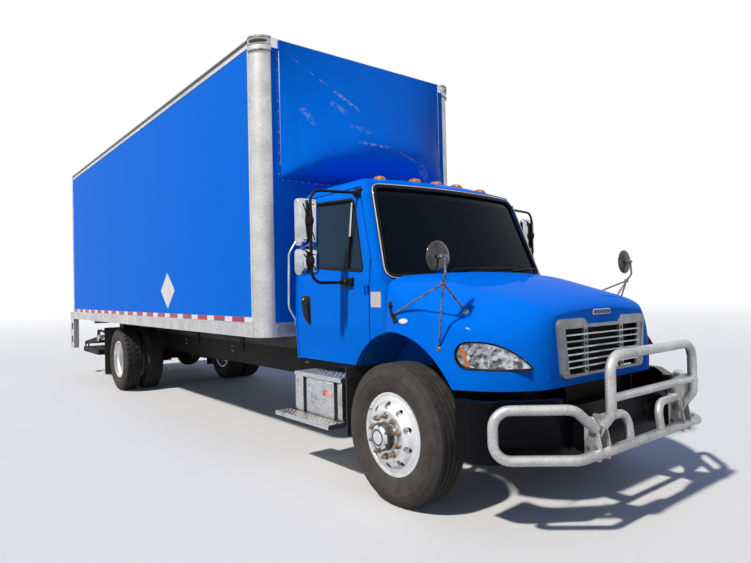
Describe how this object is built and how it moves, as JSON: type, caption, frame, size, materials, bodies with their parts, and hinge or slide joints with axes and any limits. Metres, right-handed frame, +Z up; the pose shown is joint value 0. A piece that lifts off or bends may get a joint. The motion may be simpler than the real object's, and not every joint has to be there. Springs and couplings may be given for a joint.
{
  "type": "box truck with conventional cab and lift gate",
  "caption": "Blue medium-duty box truck with a conventional cab, tube guard, van body with galvanised corner posts, dual rear wheels and a tuck-under lift gate.",
  "frame": {"origin": "on the ground under the middle of the whole truck's bounding box", "axes": "+X is the truck's left side, +Y runs to its rear, +Z is up"},
  "size_m": [3, 11.3678, 3.976],
  "materials": {
    "body_paint": "gloss",
    "black_paint": "satin",
    "bumper_paint": "satin",
    "galvanised": "satin",
    "bare_steel": "satin",
    "silver_paint": "satin",
    "cast_dark": "matte",
    "rail_alloy": "satin",
    "wheel_alloy": "satin",
    "tank_alloy": "polished",
    "tyre": "matte",
    "flap_rubber": "matte",
    "floor_wood": "matte",
    "roof_sheet": "satin",
    "door_sheet": "gloss",
    "cab_trim": "matte",
    "seat_cloth": "matte",
    "tinted_glass": "gloss",
    "lamp_lens": "gloss",
    "amber_lens": "gloss",
    "red_lens": "gloss",
    "chrome": "polished"
  },
  "bodies": {
    "chassis_body": {"chassis_frame": "black_paint", "front_axle": "black_paint", "rear_axle": "black_paint", "engine_and_radiator": "cast_dark", "exhaust": "bare_steel", "bumper": "bumper_paint", "guard_frame": "galvanised", "cab_shell": "body_paint", "windshield": "tinted_glass", "rear_window": "tinted_glass", "dashboard": "cab_trim", "seats": "seat_cloth", "roof_lamps": "amber_lens", "grab_handles": "chrome", "step_tanks": "tank_alloy", "splash_flaps": "flap_rubber", "box_floor": "floor_wood", "box_sides": "body_paint", "box_front": "body_paint", "box_roof": "roof_sheet", "lower_rails": "galvanised", "upper_rails": "rail_alloy", "corner_posts": "galvanised", "rear_frame": "galvanised", "roll_door": "door_sheet", "nosecone": "body_paint", "rear_step": "galvanised", "tail_lamps": "red_lens", "gate_mount": "galvanised", "mud_flaps": "flap_rubber"},
    "hood_body": {"hood": "body_paint", "headlamps": "lamp_lens", "grille": "silver_paint", "hood_mirrors": "chrome"},
    "guard_hoop_body": {"guard_hoop": "galvanised"},
    "door_right_body": {"door_right": "body_paint", "door_glass_right": "tinted_glass", "mirror_right": "chrome"},
    "door_left_body": {"door_left": "body_paint", "door_glass_left": "tinted_glass", "mirror_left": "chrome"},
    "knuckle_right_body": {"steering_knuckle_right": "cast_dark"},
    "knuckle_left_body": {"steering_knuckle_left": "cast_dark"},
    "tie_rod_body": {"tie_rod": "black_paint"},
    "steering_wheel_body": {"steering_wheel": "cab_trim"},
    "front_wheel_right_body": {"front_wheel_right": "wheel_alloy", "front_tyre_right": "tyre"},
    "front_wheel_left_body": {"front_wheel_left": "wheel_alloy", "front_tyre_left": "tyre"},
    "rear_wheels_right_body": {"rear_wheels_right": "wheel_alloy", "rear_tyres_right": "tyre"},
    "rear_wheels_left_body": {"rear_wheels_left": "wheel_alloy", "rear_tyres_left": "tyre"},
    "gate_arms_body": {"gate_arms": "galvanised"},
    "gate_platform_body": {"gate_platform": "galvanised"},
    "gate_barrels_body": {"gate_barrels": "black_paint"},
    "gate_rods_body": {"gate_rods": "chrome"}
  },
  "joints": [
    {"name": "hood_tilt", "type": "hinge", "parent": "chassis_body", "child": "hood_body", "pos_m": [0, -5.24212, 0.845], "axis": [1, 0, 0], "range_deg": [0, 60]},
    {"name": "guard_tilt", "type": "hinge", "parent": "chassis_body", "child": "guard_hoop_body", "pos_m": [0, -5.55713, 0.64], "axis": [1, 0, 0], "range_deg": [0, 80]},
    {"name": "door_right_swing", "type": "hinge", "parent": "chassis_body", "child": "door_right_body", "pos_m": [-1.036, -3.91213, 1.6], "axis": [0, 0, 1], "range_deg": [0, 70]},
    {"name": "door_left_swing", "type": "hinge", "parent": "chassis_body", "child": "door_left_body", "pos_m": [1.036, -3.91213, 1.6], "axis": [0, 0, -1], "range_deg": [0, 70]},
    {"name": "steer_right", "type": "hinge", "parent": "chassis_body", "child": "knuckle_right_body", "pos_m": [-0.9, -4.32212, 0.507], "axis": [0, 0, 1], "range_deg": [-35, 35]},
    {"name": "steer_left", "type": "hinge", "parent": "chassis_body", "child": "knuckle_left_body", "pos_m": [0.9, -4.32212, 0.507], "axis": [0, 0, 1], "range_deg": [-35, 35]},
    {"name": "tie_rod_turn", "type": "hinge", "parent": "knuckle_right_body", "child": "tie_rod_body", "pos_m": [-0.9, -4.13213, 0.386], "axis": [0, 0, 1], "range_deg": [-35, 35]},
    {"name": "steering_wheel_turn", "type": "hinge", "parent": "chassis_body", "child": "steering_wheel_body", "pos_m": [0.5, -3.69013, 1.612], "axis": [0, 0.7608, 0.6489], "range_deg": [-560, 560]},
    {"name": "front_wheel_right_roll", "type": "hinge", "parent": "knuckle_right_body", "child": "front_wheel_right_body", "pos_m": [-1.045, -4.32212, 0.507], "axis": [1, 0, 0], "continuous": true},
    {"name": "front_wheel_left_roll", "type": "hinge", "parent": "knuckle_left_body", "child": "front_wheel_left_body", "pos_m": [1.045, -4.32212, 0.507], "axis": [1, 0, 0], "continuous": true},
    {"name": "rear_wheels_right_roll", "type": "hinge", "parent": "chassis_body", "child": "rear_wheels_right_body", "pos_m": [-0.9, 2.63788, 0.507], "axis": [1, 0, 0], "continuous": true},
    {"name": "rear_wheels_left_roll", "type": "hinge", "parent": "chassis_body", "child": "rear_wheels_left_body", "pos_m": [0.9, 2.63788, 0.507], "axis": [1, 0, 0], "continuous": true},
    {"name": "gate_lower", "type": "hinge", "parent": "chassis_body", "child": "gate_arms_body", "pos_m": [0, 4.12788, 0.76], "axis": [-1, 0, 0], "range_deg": [0, 29]},
    {"name": "gate_level", "type": "hinge", "parent": "gate_arms_body", "child": "gate_platform_body", "pos_m": [0, 5.09788, 0.64], "axis": [1, 0, 0], "range_deg": [0, 29]},
    {"name": "gate_barrel_turn", "type": "hinge", "parent": "chassis_body", "child": "gate_barrels_body", "pos_m": [0, 3.47788, 0.9], "axis": [-1, 0, 0], "range_deg": [0, 3.22]},
    {"name": "gate_rod_slide", "type": "slide", "parent": "gate_barrels_body", "child": "gate_rods_body", "axis": [0, 1, 0.0071], "range_m": [0, 0.06503]}
  ],
  "couplings": [
    {"joint": "guard_tilt", "follows": "hood_tilt", "ratio": 1.3333},
    {"joint": "steer_left", "follows": "steer_right", "ratio": 1},
    {"joint": "tie_rod_turn", "follows": "steer_right", "ratio": -1},
    {"joint": "steering_wheel_turn", "follows": "steer_right", "ratio": 16},
    {"joint": "gate_level", "follows": "gate_lower", "ratio": 1},
    {"joint": "gate_barrel_turn", "follows": "gate_lower", "ratio": 0.1108},
    {"joint": "gate_rod_slide", "follows": "gate_lower", "m_per_rad": 0.12828}
  ]
}
